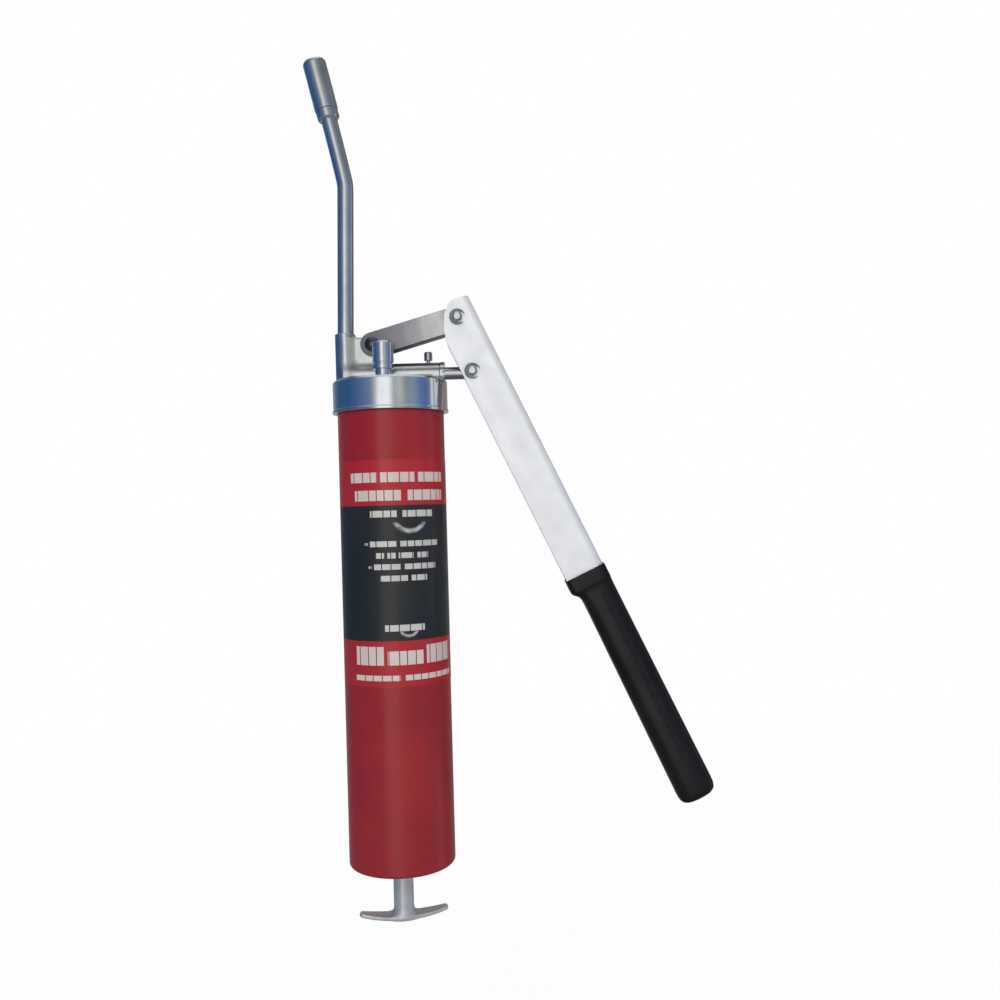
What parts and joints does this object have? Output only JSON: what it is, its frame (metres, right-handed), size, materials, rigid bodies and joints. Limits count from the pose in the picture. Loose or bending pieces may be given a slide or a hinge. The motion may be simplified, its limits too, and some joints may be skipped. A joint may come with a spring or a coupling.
{
  "type": "lever grease gun",
  "caption": "Hand-lever grease gun with a red barrel, chromed head, bent steel pipe and coupler, toggle-linked lever with a black grip, and a sprung follower rod.",
  "frame": {"origin": "on the barrel's axis, at the middle of its plain wall", "axes": "+Z along the barrel towards the pipe, +X towards the lever"},
  "size_m": [0.2113, 0.0622, 0.4654],
  "materials": {
    "red_paint": "gloss",
    "label_print": "printed film",
    "chrome_plate": "polished",
    "cast_chrome": "polished casting",
    "cast_zinc": "satin casting",
    "zinc_plate": "zinc plated",
    "bright_steel": "ground",
    "hard_steel": "oil blackened",
    "pewter_steel": "dark plated",
    "lever_steel": "satin plated",
    "spring_steel": "drawn wire",
    "black_grip": "moulded",
    "black_rubber": "moulded"
  },
  "bodies": {
    "barrel": {"barrel_tube": "red_paint", "barrel_end_plate": "red_paint", "rod_guide": "zinc_plate", "barrel_label": "label_print"},
    "follower": {"follower_cup": "black_rubber", "follower_plate": "zinc_plate", "cup_washer": "zinc_plate", "follower_spring": "spring_steel"},
    "rod": {"follower_rod": "bright_steel", "rod_nut": "zinc_plate", "t_handle": "cast_zinc"},
    "seal_ring": {"head_gasket": "black_rubber"},
    "head": {"head_casting": "cast_chrome", "gland_nut": "bright_steel", "plunger_packing": "black_rubber", "outlet_check_spring": "spring_steel", "link_pin": "bright_steel", "link_pin_clip": "spring_steel", "extension_pipe": "chrome_plate", "coupler_adapter": "chrome_plate", "coupler_sleeve": "chrome_plate", "coupler_spring": "spring_steel", "filler_body": "chrome_plate", "filler_spring": "spring_steel", "bleeder_spring": "spring_steel", "bleeder_ring": "zinc_plate"},
    "check_ball": {"outlet_check_ball": "bright_steel"},
    "filler_ball": {"filler_ball": "bright_steel"},
    "bleeder": {"bleeder_pin": "zinc_plate"},
    "jaws": {"coupler_jaws": "hard_steel", "coupler_seal": "black_rubber", "seal_cup": "bright_steel"},
    "plunger": {"plunger_rod": "bright_steel"},
    "link": {"link": "pewter_steel"},
    "lever": {"lever_channel": "lever_steel", "lever_grip": "black_grip", "upper_lever_pin": "bright_steel", "lower_lever_pin": "bright_steel", "lever_pin_clips": "bright_steel"}
  },
  "joints": [
    {"name": "head_lift", "type": "slide", "parent": "barrel", "child": "seal_ring", "axis": [0, 0, 1], "range_m": [0, 0.008]},
    {"name": "head_unscrew", "type": "hinge", "parent": "seal_ring", "child": "head", "pos_m": [0, 0, 0.1316], "axis": [0, 0, 1], "range_deg": [0, 722]},
    {"name": "follower_slide", "type": "slide", "parent": "barrel", "child": "follower", "axis": [0, 0, -1], "range_m": [0, 0.185], "stiffness_N_per_m": 400, "springref_m": -0.06, "deforming": ["follower_spring"]},
    {"name": "rod_turn", "type": "hinge", "parent": "follower", "child": "rod", "pos_m": [0, 0, 0.0996], "axis": [0, 0, 1], "continuous": true},
    {"name": "lever_swing", "type": "hinge", "parent": "plunger", "child": "lever", "pos_m": [0.0448, 0, 0.141], "axis": [0, -1, 0], "range_deg": [-15, 35]},
    {"name": "plunger_slide", "type": "slide", "parent": "head", "child": "plunger", "axis": [1, 0, 0], "range_m": [-0.0076, 0.0176]},
    {"name": "link_swing", "type": "hinge", "parent": "head", "child": "link", "pos_m": [-0.0085, 0, 0.157], "axis": [0, -1, 0], "range_deg": [-8.8, 3.8]},
    {"name": "jaw_push", "type": "slide", "parent": "head", "child": "jaws", "axis": [0.23, 0, -0.9732], "range_m": [0, 0.0015], "stiffness_N_per_m": 400, "springref_m": -0.0005, "deforming": ["coupler_spring"]},
    {"name": "bleeder_press", "type": "slide", "parent": "head", "child": "bleeder", "axis": [0, 0, -1], "range_m": [0, 0.0015], "stiffness_N_per_m": 50, "springref_m": -0.001, "deforming": ["bleeder_spring"]},
    {"name": "filler_ball_push", "type": "slide", "parent": "head", "child": "filler_ball", "axis": [0, 0, -1], "range_m": [0, 0.002], "stiffness_N_per_m": 30, "springref_m": -0.001, "deforming": ["filler_spring"]},
    {"name": "check_ball_lift", "type": "slide", "parent": "head", "child": "check_ball", "axis": [0, 0, 1], "range_m": [0, 0.0008], "stiffness_N_per_m": 20, "springref_m": -0.001, "deforming": ["outlet_check_spring"]}
  ],
  "couplings": [
    {"joint": "head_unscrew", "follows": "head_lift", "rad_per_m": 1570.8},
    {"joint": "plunger_slide", "follows": "lever_swing", "m_per_rad": 0.028648},
    {"joint": "link_swing", "follows": "lever_swing", "ratio": -0.25}
  ]
}
